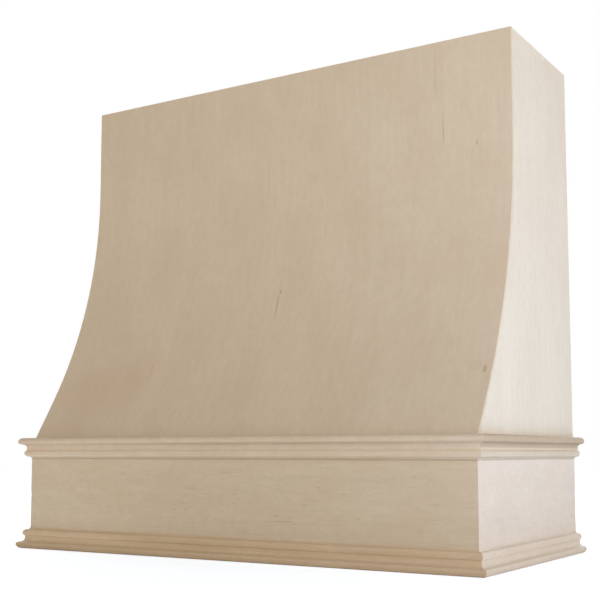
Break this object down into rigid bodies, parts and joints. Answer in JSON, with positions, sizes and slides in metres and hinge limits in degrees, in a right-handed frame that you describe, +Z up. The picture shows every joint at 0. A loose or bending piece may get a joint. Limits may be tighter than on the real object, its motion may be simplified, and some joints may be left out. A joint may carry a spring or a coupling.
{
  "type": "range hood cover",
  "caption": "Wooden wall-hung range hood cover: curved front on ribs between plywood sides, mitred apron with nosed mouldings, inner battens and a panel for an extractor insert.",
  "frame": {"origin": "centre of the whole cover's underside: the middle of the bounding box on the plane it stands on", "axes": "+Z up; the front looks along -Y and the wall plane is at Y = +0.238125 m; +X is to the right as seen from the front"},
  "size_m": [0.9556, 0.4762, 0.8954],
  "materials": {
    "maple_veneer": "unfinished, sanded, faint vertical grain",
    "maple_solid": "unfinished, sanded, grain along the piece",
    "bending_ply": "raw plywood",
    "birch_ply": "raw plywood",
    "poplar": "planed, unfinished",
    "zinc_steel": "zinc plated"
  },
  "bodies": {
    "root": {"apron_back_rail": "poplar", "apron_front_board": "maple_solid", "apron_left_board": "maple_solid", "apron_right_board": "maple_solid", "batten_screws": "zinc_steel", "canopy_back_rail": "poplar", "front_panel_core": "bending_ply", "front_panel_face": "maple_veneer", "front_panel_pins": "zinc_steel", "front_scribe_strip": "maple_solid", "front_seam_cleat": "poplar", "hanging_rail": "poplar", "insert_back_batten": "poplar", "insert_front_batten": "poplar", "insert_left_batten": "poplar", "insert_panel": "birch_ply", "insert_panel_screws": "zinc_steel", "insert_right_batten": "poplar", "left_corner_block": "poplar", "left_corner_spline": "birch_ply", "left_rib": "birch_ply", "left_seam_cleat": "poplar", "left_side_panel": "maple_veneer", "left_top_cleat": "poplar", "lower_moulding_front": "maple_solid", "lower_moulding_left": "maple_solid", "lower_moulding_pins": "zinc_steel", "lower_moulding_right": "maple_solid", "pocket_screws": "zinc_steel", "rib_screws": "zinc_steel", "right_corner_block": "poplar", "right_corner_spline": "birch_ply", "right_rib": "birch_ply", "right_seam_cleat": "poplar", "right_side_panel": "maple_veneer", "right_top_cleat": "poplar", "seam_cleat_screws": "zinc_steel", "top_cleat_screws": "zinc_steel", "top_front_rail": "poplar", "upper_moulding_front": "maple_solid", "upper_moulding_left": "maple_solid", "upper_moulding_pins": "zinc_steel", "upper_moulding_right": "maple_solid"}
  },
  "joints": []
}
